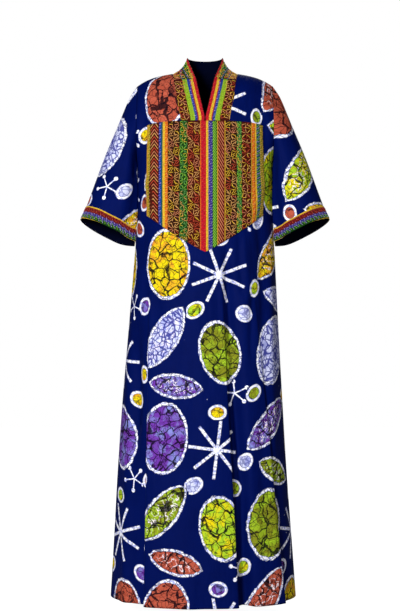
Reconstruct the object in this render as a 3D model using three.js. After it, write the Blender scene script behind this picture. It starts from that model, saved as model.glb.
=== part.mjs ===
// A V-neck batik kaftan, hanging as it is worn: front, back, two elbow-length sleeves with cuff bands,
// an embroidered chest panel (plastron), two neck bands and a standing back collar.
// Millimetres. +Z is up, -Y is the front and +X is the wearer's left. The origin is the middle of the
// neck base, level with the inner ends of the shoulder seams, where the wearer holds the garment up.
import * as THREE from "three";

// Driving dimensions
const CLOTH = 2; // body and sleeve wall
const TRIM = 1.6; // embroidered pieces
const SEAM = 0.3; // space left at each side, shoulder and armhole seam
const EDGE = 0.5; // space left round the neckline
const TRIM_LIFT = 0.8; // trim stands this far off the smooth form, clear of the panel's facets
const HEM = -1452;
const ARM = { x: 190, top: -30, under: -270, half: 58 }; // armhole: plane, ends and half opening
const SLIT = 1.4; // how sharply the armhole's two ends come to a point
const NECK = { half: 49, back: 58, top: 50 }; // the collar's upper edge, an oval round the neck
const NOTCH = { half: 66, z: -138, shoulder: 91, shoulderZ: 5, bandTop: -18 }; // front neckline
const BACK_NECK_Z = -14;
const ROUNDING = 60; // how far below the shoulder line the form reaches its full depth
const PLASTRON = { half: 160, top: -138.6, side: -396, point: -497, corner: 9 };
const CUFF_START = 0.9; // share of the sleeve's length where the cuff band begins

// Horizontal sections of the body, by height: half width, depths in front and behind, and how far the
// section hangs off centre
const SECTIONS = [
  { z: 60, half: 189.85, front: 46, back: 56, lean: 0 },
  { z: 0, half: 189.85, front: 66, back: 68, lean: 0 },
  { z: -60, half: 189.85, front: 86, back: 84, lean: 0 },
  { z: -130, half: 189.85, front: 104, back: 97, lean: 0 },
  { z: -220, half: 189.85, front: 124, back: 104, lean: 0 },
  { z: -300, half: 189.85, front: 129, back: 104, lean: 0 },
  { z: -400, half: 190, front: 128, back: 103, lean: 0 },
  { z: -520, half: 197, front: 130, back: 106, lean: -1 },
  { z: -700, half: 209, front: 137, back: 114, lean: -4 },
  { z: -900, half: 223, front: 145, back: 124, lean: -7 },
  { z: -1100, half: 236, front: 151, back: 135, lean: -8 },
  { z: -1300, half: 249, front: 157, back: 146, lean: -6 },
  { z: -1452, half: 259, front: 160, back: 153, lean: -5 },
];

// Hanging folds. left and right are the fold's edges, at the height where it starts and at the hem; out is
// how far it stands out at the hem, and tuck how far each edge doubles back under itself there.
const FRONT_FOLDS = [
  { from: -480, left: [-152, -152], right: [44, 80], out: 34, tuckLeft: 14, tuckRight: 17, soft: 11 },
  { from: -470, left: [86, 122], right: [124, 206], out: 24, tuckLeft: 0, tuckRight: 13, soft: 11 },
  { from: -560, left: [-215, -228], right: [-196, -205], out: 10, tuckLeft: 0, tuckRight: 0, soft: 10 },
  { from: -150, left: [-92, -70], right: [-60, -20], out: 5, tuckLeft: 0, tuckRight: 0, soft: 16 },
];
const BACK_FOLDS = [
  { from: -330, left: [-150, -196], right: [-112, -118], out: 30, tuckLeft: 9, tuckRight: 9, soft: 13 },
  { from: -420, left: [-52, -62], right: [-4, 26], out: 34, tuckLeft: 10, tuckRight: 12, soft: 13 },
  { from: -360, left: [64, 98], right: [104, 168], out: 30, tuckLeft: 11, tuckRight: 8, soft: 13 },
];

// The sleeve, from the armhole (along 0) to its end (along 1): its upper edge and its underarm edge seen
// from the front, its half depth front to back, and how far its back half hangs below its front half.
const SLEEVE = [
  { along: 0, topX: 190.15, topZ: -30, underX: 190.15, underZ: -270, depth: 58, drop: 0 },
  { along: 0.1, topX: 211, topZ: -62, underX: 192, underZ: -290, depth: 61, drop: 0 },
  { along: 0.3, topX: 244, topZ: -141, underX: 195, underZ: -328, depth: 63, drop: 2 },
  { along: 0.55, topX: 282, topZ: -231, underX: 197.5, underZ: -374, depth: 62, drop: 5 },
  { along: 0.9, topX: 332.5, topZ: -367, underX: 199, underZ: -437, depth: 57, drop: 12 },
  { along: 1, topX: 348, topZ: -402, underX: 200, underZ: -474, depth: 56, drop: 14 },
];
// Soft folds along a sleeve, by their place round it (degrees from the upper edge, front side positive)
const SLEEVE_FOLDS_LEFT = [
  { angle: 122, width: 17, out: 8, from: 0.12 },
  { angle: 70, width: 20, out: 5, from: 0.3 },
  { angle: 235, width: 22, out: 7, from: 0.15 },
];
const SLEEVE_FOLDS_RIGHT = [
  { angle: 116, width: 18, out: 8, from: 0.1 },
  { angle: 60, width: 22, out: 4, from: 0.35 },
  { angle: 240, width: 20, out: 7, from: 0.15 },
];

const smoothstep = (t) => THREE.MathUtils.smoothstep(t, 0, 1);
const { lerp } = THREE.MathUtils;

// A column of a table read at any place, by a smooth curve through its rows
function read(table, key, place, column) {
  const rising = table.at(-1)[key] > table[0][key];
  const last = table.length - 1;
  let i = table.findIndex((row) => (rising ? row[key] >= place : row[key] <= place));
  i = THREE.MathUtils.clamp(i < 0 ? last : i, 1, last);
  const slope = (n) => {
    const low = table[Math.max(n - 1, 0)];
    const high = table[Math.min(n + 1, last)];
    return (high[column] - low[column]) / (high[key] - low[key]);
  };
  const [a, b] = [table[i - 1], table[i]];
  const span = b[key] - a[key];
  const t = THREE.MathUtils.clamp((place - a[key]) / span, 0, 1);
  return (
    (2 * t ** 3 - 3 * t ** 2 + 1) * a[column] + (t ** 3 - 2 * t ** 2 + t) * span * slope(i - 1) +
    (3 * t ** 2 - 2 * t ** 3) * b[column] + (t ** 3 - t ** 2) * span * slope(i)
  );
}

// The shoulder line seen from the front, which rises to the collar's upper edge beside the neck
function shoulderLine(x) {
  const reach = Math.abs(x) - NOTCH.shoulder;
  if (reach < 0) {
    const rise = NECK.top - NOTCH.shoulderZ;
    return NOTCH.shoulderZ + rise * (reach / (NOTCH.shoulder - NECK.half)) ** 2;
  }
  const t = Math.min(reach / (ARM.x - NOTCH.shoulder), 1);
  return NOTCH.shoulderZ - (NOTCH.shoulderZ - ARM.top) * (0.45 * t + 0.55 * t ** 3);
}

// Half of the armhole's opening, front to back, as a share of the most
function armholeShare(z) {
  const middle = (ARM.top + ARM.under) / 2;
  const reach = (z - middle) / (ARM.top - middle);
  return Math.max(0, 1 - reach ** 2) ** SLIT;
}

// The form before its folds: a point of the front (side -1) or back (side 1) at a turn of -90 to 90 degrees
function form(side, turn, z) {
  const share = Math.sin(turn);
  const x = read(SECTIONS, "z", z, "lean") + read(SECTIONS, "z", z, "half") * share;
  const below = THREE.MathUtils.clamp((shoulderLine(x) - z) / ROUNDING, 0, 1);
  const depth = read(SECTIONS, "z", z, side < 0 ? "front" : "back") * Math.sqrt(1 - (1 - below) ** 2);
  const open = armholeShare(z);
  const edge = ARM.half * open;
  const crown = (1 - Math.min(Math.abs(share), 1) ** 2.4) ** (0.5 + 0.5 * open);
  return new THREE.Vector3(x, side * (edge + (depth - edge) * crown + SEAM / 2), z);
}

// The form's outward direction
function formNormal(side, turn, z) {
  const step = 0.01;
  const drop = 1.5;
  const limit = Math.PI / 2 - step;
  const middle = THREE.MathUtils.clamp(turn, -limit, limit);
  const across = form(side, middle + step, z).sub(form(side, middle - step, z));
  const down = form(side, middle, z - drop).sub(form(side, middle, z));
  return down.cross(across).multiplyScalar(-side).normalize();
}

// The form with its hanging folds
function body(side, turn, z) {
  const point = form(side, turn, z);
  const folds = side < 0 ? FRONT_FOLDS : BACK_FOLDS;
  const step = 0.004;
  const next = form(side, Math.min(turn + step, Math.PI / 2), z);
  const along = next.sub(form(side, Math.max(turn - step, -Math.PI / 2), z)).normalize();
  const out = new THREE.Vector3(along.y, -along.x, 0).multiplyScalar(-side).normalize();
  const toSeam = smoothstep((1 - Math.abs(Math.sin(turn))) / 0.06);
  const x = point.x;
  for (const fold of folds) {
    const grown = Math.max(0, (fold.from - z) / (fold.from - HEM)) ** 0.8;
    if (!grown) continue;
    const place = (fold.from - z) / (fold.from - HEM);
    const edges = [
      { at: lerp(...fold.left, place), way: 1, tuck: fold.tuckLeft },
      { at: lerp(...fold.right, place), way: -1, tuck: fold.tuckRight },
    ];
    let lift = fold.out * grown * toSeam;
    for (const { at, way, tuck } of edges) {
      const q = (x - at) / fold.soft;
      lift *= 0.5 + 0.5 * Math.tanh(way * q * 1.2);
      point.addScaledVector(along, -tuck * grown * toSeam * q * Math.exp((1 - q * q) / 2));
    }
    point.addScaledVector(out, lift);
  }
  return point;
}

function turnAt(x, z) {
  const share = (x - read(SECTIONS, "z", z, "lean")) / read(SECTIONS, "z", z, "half");
  return Math.asin(THREE.MathUtils.clamp(share, -1, 1));
}

// Outward directions on a grid of points: rows run down and columns run anticlockwise seen from above
function outward(points, closed = false) {
  const rows = points.length;
  const columns = points[0].length;
  const inRows = (r) => THREE.MathUtils.clamp(r, 0, rows - 1);
  const inColumns = (c) => (closed ? (c + columns) % columns : THREE.MathUtils.clamp(c, 0, columns - 1));
  return points.map((row, r) =>
    row.map((_, c) => {
      const across = points[r][inColumns(c + 1)].clone().sub(points[r][inColumns(c - 1)]);
      const down = points[inRows(r + 1)][c].clone().sub(points[inRows(r - 1)][c]);
      return down.cross(across).normalize();
    }),
  );
}

// A wall over a grid of points, between two distances along its outward directions
function wall(points, directions, inner, outer, closed = false) {
  const rows = points.length;
  const columns = points[0].length;
  const skins = [outer, inner];
  const moved = (distance) => (row, r) =>
    row.flatMap((point, c) => point.clone().addScaledVector(directions[r][c], distance).toArray());
  const position = skins.flatMap((distance) => points.flatMap(moved(distance)));
  const index = [];
  const quad = (a, b, c, d) => index.push(a, b, c, a, c, d);
  const outside = (r, c) => r * columns + (c % columns);
  const inside = (r, c) => rows * columns + outside(r, c);
  const spans = closed ? columns : columns - 1;
  for (let c = 0; c < spans; c++) {
    for (let r = 0; r < rows - 1; r++) {
      quad(outside(r, c), outside(r + 1, c), outside(r + 1, c + 1), outside(r, c + 1));
      quad(inside(r, c), inside(r, c + 1), inside(r + 1, c + 1), inside(r + 1, c));
    }
    quad(outside(0, c), outside(0, c + 1), inside(0, c + 1), inside(0, c));
    quad(outside(rows - 1, c), inside(rows - 1, c), inside(rows - 1, c + 1), outside(rows - 1, c + 1));
  }
  for (let r = 0; r < rows - 1 && !closed; r++) {
    quad(outside(r, 0), inside(r, 0), inside(r + 1, 0), outside(r + 1, 0));
    quad(outside(r, spans), outside(r + 1, spans), inside(r + 1, spans), inside(r, spans));
  }
  const geometry = new THREE.BufferGeometry();
  geometry.setAttribute("position", new THREE.Float32BufferAttribute(position, 3));
  geometry.setIndex(index);
  geometry.computeVertexNormals();
  return geometry;
}

// Heights of a column's points as shares of its length: close at the shoulder, then over the chest
const ROW_SHARES = [0, 0.004, 0.015, 0.034, 0.062, 0.096, 0.13, 0.164, 0.198, 0.232, 0.266, 0.302, 0.34,
  0.385, 0.435, 0.49, 0.545, 0.6, 0.66, 0.72, 0.78, 0.84, 0.895, 0.95, 1];

// A panel hangs in three lengths, one below the other, each between two of its rows
const LENGTHS = [
  { name: "chest", first: 0, last: 11 },
  { name: "hip", first: 11, last: 17 },
  { name: "hem", first: 17, last: 24 },
];

// Turns of the lower columns at a height, closer together at the edges of the folds
function lowerTurns(side, z, count) {
  const half = read(SECTIONS, "z", z, "half");
  const lean = read(SECTIONS, "z", z, "lean");
  const folds = side < 0 ? FRONT_FOLDS : BACK_FOLDS;
  const samples = 180;
  const sums = [0];
  for (let i = 0; i < samples; i++) {
    const x = lean + half * Math.sin(Math.PI * ((i + 0.5) / samples - 0.5));
    let density = 1;
    for (const fold of folds) {
      const place = THREE.MathUtils.clamp((fold.from - z) / (fold.from - HEM), 0, 1);
      for (const [edge, tuck] of [[fold.left, fold.tuckLeft], [fold.right, fold.tuckRight]])
        if (tuck) density += 2.2 * Math.exp(-(((x - lerp(...edge, place)) / 22) ** 2));
    }
    sums.push(sums.at(-1) + density);
  }
  return Array.from({ length: count + 1 }, (_, n) => {
    const wanted = (sums.at(-1) * n) / count;
    const i = THREE.MathUtils.clamp(sums.findIndex((s) => s >= wanted - 1e-9), 1, samples);
    const part = (wanted - sums[i - 1]) / (sums[i] - sums[i - 1]);
    return Math.PI * ((i - 1 + part) / samples - 0.5);
  });
}

// A body panel's lengths, from the tops of its columns, given from centre to side as {x, z}
function panel(side, tops) {
  const columns = [...tops.slice(1).reverse().map(({ x, z }) => ({ x: -x, z })), ...tops];
  const turns = (z) => lowerTurns(side, z, columns.length - 1);
  const points = ROW_SHARES.map((share) =>
    columns.map(({ x, z: top }, c) => {
      const z = lerp(top, HEM, share);
      const settle = smoothstep((top - z) / 330);
      return body(side, lerp(turnAt(x, top), turns(z)[c], settle), z);
    }),
  );
  if (side > 0) points.forEach((row) => row.reverse());
  const directions = outward(points);
  const sides = [0, columns.length - 1];
  for (const direction of directions.at(-1)) direction.setZ(0).normalize();
  points.forEach((row, r) => {
    for (const c of sides) {
      const open = armholeShare(row[c].z);
      directions[r][c].set(Math.sign(row[c].x) * (1 - open), side * open, 0).normalize();
    }
  });
  points[0].forEach((point, c) => {
    const seam = Math.abs(point.x) > NOTCH.shoulder - 1;
    if (seam) directions[0][c].set(0, 0, 1);
    else directions[0][c].copy(formNormal(side, turnAt(point.x, point.z), point.z));
  });
  return LENGTHS.map(({ name, first, last }) => {
    const rows = points.slice(first, last + 1).map((row) => row.map((point) => point.clone()));
    if (first > 0) for (const point of rows[0]) point.z -= SEAM / 2;
    if (last < points.length - 1) for (const point of rows.at(-1)) point.z += SEAM / 2;
    return { name, geometry: wall(rows, directions.slice(first, last + 1), -CLOTH, 0) };
  });
}

const spread = (count, point) => Array.from({ length: count + 1 }, (_, n) => point(n / count));

// The front neckline's side, from its lower corner up to the shoulder
const notchX = (z) => lerp(NOTCH.half, NOTCH.shoulder, (z - NOTCH.z) / (NOTCH.shoulderZ - NOTCH.z));
const BAND_ROWS = [NOTCH.z, -126, -92, -56, NOTCH.bandTop];
const COLLAR_ROWS = [NOTCH.bandTop, -11, -4, NOTCH.shoulderZ];
const BAND_ACROSS = 6;
const shoulderTops = spread(7, (t) => {
  const x = lerp(NOTCH.shoulder, ARM.x, t);
  return { x, z: shoulderLine(x) };
}).slice(1);

function front() {
  const centre = spread(BAND_ACROSS, (t) => ({ x: NOTCH.half * t, z: NOTCH.z }));
  const side = [...BAND_ROWS, ...COLLAR_ROWS.slice(1)].slice(1).map((z) => ({ x: notchX(z), z }));
  return panel(-1, [...centre, ...side, ...shoulderTops]);
}

const BACK_NECK_COLUMNS = 8;
const backNeckZ = (x) => lerp(BACK_NECK_Z, NOTCH.shoulderZ, (x / NOTCH.shoulder) ** 2);

function back() {
  const neck = spread(BACK_NECK_COLUMNS, (t) => {
    const x = NOTCH.shoulder * t;
    return { x, z: backNeckZ(x) };
  });
  return panel(1, [...neck, ...shoulderTops]);
}

// The V's edge: its places seen from the front, on the chest below and round the neck above
const V_EDGE = [
  { z: NOTCH.z, x: 0.4, y: -105.5 },
  { z: -126, x: 0.4, y: -103 },
  { z: -92, x: 8, y: -94 },
  { z: -56, x: 16, y: -82 },
  { z: NOTCH.bandTop, x: 24, y: -66 },
  { z: 8, x: 34, y: -46 },
  { z: 32, x: 43, y: -22 },
  { z: NECK.top, x: NECK.half, y: 0 },
];

// The neck's rails, from the V's point up one side and on to the middle of the back: a station's outer end
// is on a panel's neckline, its inner end on the V or the collar's upper edge
function station(side, x, z, inner) {
  const turn = turnAt(x, z);
  const outer = form(side, turn, z);
  const flat = form(side, turnAt(x - 4, z), z).sub(outer).normalize();
  const rise = outer.clone();
  if (z >= NOTCH.bandTop || side > 0) rise.lerp(inner, 0.7).setZ(lerp(outer.z, inner.z, 0.22));
  else rise.addScaledVector(flat, outer.distanceTo(inner) / 2);
  return { curve: new THREE.QuadraticBezierCurve3(inner, rise, outer), normal: formNormal(side, turn, z) };
}
const frontStations = [...BAND_ROWS, ...COLLAR_ROWS.slice(1)].map((z, n) =>
  station(-1, notchX(z), z, new THREE.Vector3(V_EDGE[n].x, V_EDGE[n].y, V_EDGE[n].z)),
);
const backStations = spread(BACK_NECK_COLUMNS, (t) => {
  const x = NOTCH.shoulder * (1 - t);
  const turn = (Math.PI / 2) * (1 - t);
  const inner = new THREE.Vector3(NECK.half * Math.sin(turn), NECK.back * Math.cos(turn), NECK.top);
  return station(1, x, backNeckZ(x), inner);
}).slice(1);

// The left half's rows run from the inner rail to the outer one, which stops short of the panel by the seam
const halfNeck = [...frontStations, ...backStations];
const neckRows = spread(BAND_ACROSS, (w) => halfNeck.map(({ curve }) => curve.getPoint(w)));
const neckOut = outward(neckRows);
neckOut.at(-1).forEach((direction, c) => direction.copy(halfNeck[c].normal));
for (const row of neckOut) {
  row[0].setX(0).normalize();
  row.at(-1).setX(0).normalize();
}
neckRows.at(-1).forEach((point, c) => {
  const inward = halfNeck[c].curve.getTangent(1).negate();
  inward.addScaledVector(halfNeck[c].normal, -inward.dot(halfNeck[c].normal)).normalize();
  point.addScaledVector(inward, EDGE);
});

// A run of the half's columns, moved in from its neighbours at the columns that are cut
function neckRun(first, last, cuts) {
  const pick = (rows) => rows.map((row) => row.slice(first, last + 1).map((item) => item.clone()));
  const points = pick(neckRows);
  const directions = pick(neckOut);
  for (const { at, towards } of cuts)
    points.forEach((row, r) => {
      const step = neckRows[r][towards].clone().sub(neckRows[r][at]);
      step.addScaledVector(neckOut[r][at], -step.dot(neckOut[r][at])).setLength(EDGE / 2);
      row[at - first].add(step);
    });
  return { points, directions };
}
const flip = (rows) => rows.map((row) => row.map((item) => item.clone().setX(-item.x)).reverse());

const BAND_END = BAND_ROWS.length - 1;
function neckBand(way) {
  const cuts = [{ at: 0, towards: 1 }, { at: BAND_END, towards: BAND_END - 1 }];
  const { points, directions } = neckRun(0, BAND_END, cuts);
  if (way > 0) return wall(points, directions, -TRIM, 0);
  return wall(flip(points), flip(directions), -TRIM, 0);
}

function collar() {
  const last = halfNeck.length - 1;
  const { points, directions } = neckRun(BAND_END, last, [{ at: BAND_END, towards: BAND_END + 1 }]);
  const whole = (rows) => flip(rows).map((row, r) => [...rows[r], ...row.slice(1)]);
  return wall(whole(points), whole(directions), -TRIM, 0);
}

// The plastron's outline seen from the front: level top with eased corners, straight sides, a point below
function plastron() {
  const outline = (x) => {
    const reach = Math.abs(x) / PLASTRON.half;
    return {
      top: PLASTRON.top - PLASTRON.corner * reach ** 4,
      bottom: lerp(PLASTRON.point, PLASTRON.side, reach ** 1.15),
    };
  };
  const points = spread(14, (down) =>
    spread(22, (across) => {
      const x = PLASTRON.half * (2 * across - 1);
      const { top, bottom } = outline(x);
      const z = lerp(top, bottom, down);
      return body(-1, turnAt(x, z), z);
    }),
  );
  return wall(points, outward(points), TRIM_LIFT, TRIM_LIFT + TRIM);
}

const SLEEVE_ROUND = 26;
const SLEEVE_ROWS = [0, 0.06, 0.14, 0.25, 0.37, 0.5, 0.63, 0.76, CUFF_START, 1];

// Rows of points down a sleeve on the wearer's left, or mirrored for the right
function sleevePoints(folds, way) {
  const rows = SLEEVE_ROWS.map((along) => {
    const at = (column) => read(SLEEVE, "along", along, column);
    const top = new THREE.Vector3(at("topX"), 0, at("topZ"));
    const under = new THREE.Vector3(at("underX"), 0, at("underZ"));
    const reach = top.clone().sub(under).multiplyScalar(0.5);
    const middle = top.clone().add(under).multiplyScalar(0.5);
    const down = new THREE.Vector3(reach.z, 0, -reach.x).normalize();
    return Array.from({ length: SLEEVE_ROUND }, (_, n) => {
      const turn = (-2 * Math.PI * n) / SLEEVE_ROUND; // first towards the back
      let swell = 1;
      for (const { angle, width, out, from } of folds) {
        const past = THREE.MathUtils.radToDeg(turn) - angle;
        const away = THREE.MathUtils.euclideanModulo(past + 180, 360) - 180;
        const grown = smoothstep((along - from) / (1 - from));
        swell += (out / at("depth")) * grown * Math.exp(-((away / width) ** 2));
      }
      const point = middle.clone().addScaledVector(reach, Math.cos(turn));
      const slit = Math.abs(Math.sin(turn)) ** lerp(2 * SLIT - 1, 0, smoothstep(along / 0.3));
      point.y = -at("depth") * Math.sin(turn) * swell * slit;
      point.addScaledVector(down, (at("drop") * point.y) / at("depth"));
      return point;
    });
  });
  if (way < 0) for (const row of rows) row.reverse().forEach((point) => point.setX(-point.x));
  return rows;
}

function sleeve(folds, way) {
  const points = sleevePoints(folds, way);
  const directions = outward(points, true);
  for (const direction of directions[0]) direction.setX(0).normalize();
  return wall(points, directions, -CLOTH, 0, true);
}

function cuff(folds, way) {
  const points = sleevePoints(folds, way);
  return wall(points.slice(-2), outward(points, true).slice(-2), SEAM, SEAM + TRIM, true);
}

const kaftan = new THREE.Group();
function add(name, geometry, color, roughness = 0.75) {
  const material = new THREE.MeshStandardMaterial({ color, roughness, metalness: 0 });
  const mesh = new THREE.Mesh(geometry, material);
  mesh.name = name;
  kaftan.add(mesh);
}

const BATIK = "#0b1f73";
const EMBROIDERY = "#6b2f16";
const COLLAR = "#54361f";
for (const { name, geometry } of front()) add("front_" + name, geometry, BATIK);
for (const { name, geometry } of back()) add("back_" + name, geometry, BATIK);
add("sleeve_left", sleeve(SLEEVE_FOLDS_LEFT, 1), BATIK);
add("sleeve_right", sleeve(SLEEVE_FOLDS_RIGHT, -1), BATIK);
add("cuff_left", cuff(SLEEVE_FOLDS_LEFT, 1), EMBROIDERY);
add("cuff_right", cuff(SLEEVE_FOLDS_RIGHT, -1), EMBROIDERY);
add("plastron", plastron(), EMBROIDERY);
add("neck_band_left", neckBand(1), EMBROIDERY);
add("neck_band_right", neckBand(-1), EMBROIDERY);
add("collar", collar(), COLLAR);

export default kaftan;
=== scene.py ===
"""Looks of a batik kaftan: printed cotton panels and sleeves, striped embroidery and a standing collar."""

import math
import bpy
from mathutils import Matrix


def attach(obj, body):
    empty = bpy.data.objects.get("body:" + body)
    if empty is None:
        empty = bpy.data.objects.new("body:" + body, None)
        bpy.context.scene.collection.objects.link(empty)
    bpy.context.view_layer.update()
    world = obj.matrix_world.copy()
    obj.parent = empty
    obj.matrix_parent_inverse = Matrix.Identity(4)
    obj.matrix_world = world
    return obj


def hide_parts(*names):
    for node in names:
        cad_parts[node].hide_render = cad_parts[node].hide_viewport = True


bl_info = {
    "name": "Batik Kaftan",
    "version": (1, 0, 0),
    "blender": (4, 5, 0),
    "location": "3D View > Sidebar > Kaftan",
    "description": "Builds the printed cloth, embroidered trim and thread work of a full-length kaftan",
    "category": "Add Mesh",
}

from collections import namedtuple

import bmesh
import bpy
import numpy as np
from mathutils import Matrix, Vector, noise

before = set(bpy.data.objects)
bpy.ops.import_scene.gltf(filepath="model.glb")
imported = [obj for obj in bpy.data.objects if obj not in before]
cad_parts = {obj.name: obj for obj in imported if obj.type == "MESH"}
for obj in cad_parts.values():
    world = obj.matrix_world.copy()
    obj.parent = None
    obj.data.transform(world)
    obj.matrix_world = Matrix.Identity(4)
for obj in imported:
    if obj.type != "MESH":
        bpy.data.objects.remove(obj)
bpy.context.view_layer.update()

# ---------------------------------------------------------------- sizes, in millimetres
MM = 0.001
HEM = -1452
# How far the neck's strips run on beneath the panels' edges, and how far they lie inside them there
OVERLAP, TUCK_IN = 1.5, 1.5
SLIT = 1.4
ROUNDING = 60
ARM_X, ARM_TOP, ARM_UNDER, ARM_HALF = 190, -30, -270, 58
NECK_HALF, NECK_BACK, NECK_TOP = 49, 58, 50
NOTCH_HALF, NOTCH_Z, SHOULDER_X, SHOULDER_Z, BAND_TOP = 66, -138, 91, 5, -18
BACK_NECK_Z = -14
PLASTRON_HALF, PLASTRON_TOP, PLASTRON_SIDE, PLASTRON_POINT, PLASTRON_CORNER = 160, -138.6, -396, -497, 9
CUFF_START = 0.9
TRIM_WALL = 1.0
FRONT, BACK = -1, 1

# Horizontal sections of the body: half width, depths in front and behind, how far off centre they hang
Section = namedtuple("Section", "z half front back lean")
SECTIONS = [
    Section(60, 189.85, 46, 56, 0),
    Section(0, 189.85, 66, 68, 0),
    Section(-60, 189.85, 86, 84, 0),
    Section(-130, 189.85, 104, 97, 0),
    Section(-220, 189.85, 124, 104, 0),
    Section(-300, 189.85, 129, 104, 0),
    Section(-400, 190, 128, 103, 0),
    Section(-520, 197, 130, 106, -1),
    Section(-700, 209, 137, 114, -4),
    Section(-900, 223, 145, 124, -7),
    Section(-1100, 236, 151, 135, -8),
    Section(-1300, 249, 157, 146, -6),
    Section(-1452, 259, 160, 153, -5),
]

# Hanging folds: the height where each starts, its edges there and at the hem, how far it stands out at
# the hem, how far its edges double back under it, and how soft those edges are
Fold = namedtuple("Fold", "start left right out tuck_left tuck_right soft")
FOLDS = {
    FRONT: [
        Fold(-480, (-152, -152), (44, 80), 34, 14, 17, 11),
        Fold(-470, (86, 122), (124, 206), 24, 0, 13, 11),
        Fold(-560, (-215, -228), (-196, -205), 10, 0, 0, 10),
        Fold(-150, (-92, -70), (-60, -20), 5, 0, 0, 16),
    ],
    BACK: [
        Fold(-330, (-150, -196), (-112, -118), 30, 9, 9, 13),
        Fold(-420, (-52, -62), (-4, 26), 34, 10, 12, 13),
        Fold(-360, (64, 98), (104, 168), 30, 11, 8, 13),
    ],
}

# Creases in a panel: a line from one place to another as seen from its own side, how wide it is, and how
# high it stands at each end and in the middle (below zero for a trough)
Crease = namedtuple("Crease", "x0 z0 x1 z1 width height")
CREASES = {
    FRONT: [
        Crease(-188, -760, -194, -1120, 13, -7),
        Crease(-120, -420, -150, -800, 16, -5),
        Crease(-60, -520, -96, -1180, 20, -4),
        Crease(-20, -540, 4, -1300, 22, 4),
        Crease(30, -500, 46, -900, 14, -5),
        Crease(100, -410, 104, -700, 14, 6),
        Crease(150, -330, 158, -760, 14, -6),
        Crease(172, -420, 196, -1180, 12, 6),
        Crease(150, -900, 168, -1400, 18, -5),
        Crease(60, -440, 82, -880, 11, -15),
        Crease(80, -780, 98, -1180, 11, -17),
        Crease(96, -1080, 116, -1560, 12, -17),
        Crease(98, -420, 106, -660, 10, -7),
        Crease(128, -570, 132, -820, 9, -6),
        Crease(-186, -660, -192, -1080, 15, -10),
        Crease(-176, -400, -184, -560, 12, -8),
        Crease(-168, -270, -120, -420, 14, 5),
        Crease(172, -262, 128, -430, 14, 5),
        Crease(-160, -60, -170, -230, 12, -5),
        Crease(150, -50, 166, -240, 12, -5),
        Crease(120, -40, 60, -150, 12, 2.5),
        Crease(-120, -40, -64, -150, 12, 2.5),
        Crease(-180, -330, -172, -700, 12, 5),
    ],
    BACK: [
        Crease(-150, -70, -60, -190, 16, 5),
        Crease(150, -66, 66, -200, 16, 5),
        Crease(-120, -220, -96, -620, 16, -6),
        Crease(20, -160, 34, -760, 20, -5),
        Crease(120, -240, 96, -560, 16, 6),
        Crease(-176, -280, -190, -900, 14, -6),
        Crease(180, -280, 200, -1000, 13, 6),
        Crease(-10, -600, -20, -1320, 22, 4),
        Crease(150, -720, 190, -1400, 18, -6),
        Crease(-96, -640, -120, -1380, 14, -4),
    ],
}

# The sleeve's edges seen from the front, from the armhole to its end, its half depth and how far its back
# half hangs below its front half
Sleeve = namedtuple("Sleeve", "along top_x top_z under_x under_z depth drop")
SLEEVE = [
    Sleeve(0, 190.15, -30, 190.15, -270, 58, 0),
    Sleeve(0.1, 211, -62, 192, -290, 61, 0),
    Sleeve(0.3, 244, -141, 195, -328, 63, 2),
    Sleeve(0.55, 282, -231, 197.5, -374, 62, 5),
    Sleeve(0.9, 332.5, -367, 199, -437, 57, 12),
    Sleeve(1, 348, -402, 200, -474, 56, 14),
]
# The sleeve's cloth is measured along the line down the middle of the sleeve, and round it square to
# that line
SLEEVE_START = np.array([190.15, 0, -150])
SLEEVE_AXIS = np.array([83.85, 0, -288])
# How close the soft underside of a sleeve hangs to the side of the body, on the cloth and at the thicker
# cuff, and the two soft ridges of it that hang past the body's side: how far, where and how wide
SLEEVE_CLEAR, CUFF_CLEAR = 0.6, 3.0
HUG, HUG_PLACE, HUG_WIDTH = 9, 26, 9
# Folds along a sleeve: place round it in degrees from its upper edge, width in degrees, height, and the
# shares of the sleeve between which it shows
SleeveFold = namedtuple("SleeveFold", "angle width out start end")
SLEEVE_FOLDS = {
    1: [
        SleeveFold(122, 17, 8, 0.12, 2),
        SleeveFold(70, 20, 5, 0.3, 2),
        SleeveFold(235, 22, 7, 0.15, 2),
        SleeveFold(96, 7, -2.6, 0.1, 0.9),
        SleeveFold(48, 8, 2.2, 0.05, 0.75),
        SleeveFold(150, 9, -3, 0.02, 0.6),
        SleeveFold(205, 10, 3, 0.1, 0.8),
        SleeveFold(290, 9, -2.6, 0.1, 0.9),
    ],
    -1: [
        SleeveFold(116, 18, 8, 0.1, 2),
        SleeveFold(60, 22, 4, 0.35, 2),
        SleeveFold(240, 20, 7, 0.15, 2),
        SleeveFold(88, 7, -2.4, 0.15, 0.95),
        SleeveFold(40, 9, 2.4, 0.05, 0.8),
        SleeveFold(146, 9, -3, 0.03, 0.55),
        SleeveFold(212, 10, 3, 0.1, 0.85),
        SleeveFold(300, 9, -2.4, 0.15, 0.9),
    ],
}

# ---------------------------------------------------------------- the garment's form


def smoothstep(t):
    t = np.clip(t, 0, 1)
    return t * t * (3 - 2 * t)


def read(table, place, column):
    """A column of a table at any place, by a smooth curve through its rows."""
    keys = np.array([row[0] for row in table], float)
    values = np.array([getattr(row, column) for row in table], float)
    if keys[0] > keys[-1]:
        keys, values = keys[::-1], values[::-1]
    slopes = np.gradient(values)
    steps = np.gradient(keys)
    slopes = slopes / steps
    i = np.clip(np.searchsorted(keys, place) - 1, 0, len(keys) - 2)
    span = keys[i + 1] - keys[i]
    t = np.clip((place - keys[i]) / span, 0, 1)
    return (
        (2 * t**3 - 3 * t**2 + 1) * values[i]
        + (t**3 - 2 * t**2 + t) * span * slopes[i]
        + (3 * t**2 - 2 * t**3) * values[i + 1]
        + (t**3 - t**2) * span * slopes[i + 1]
    )


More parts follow.
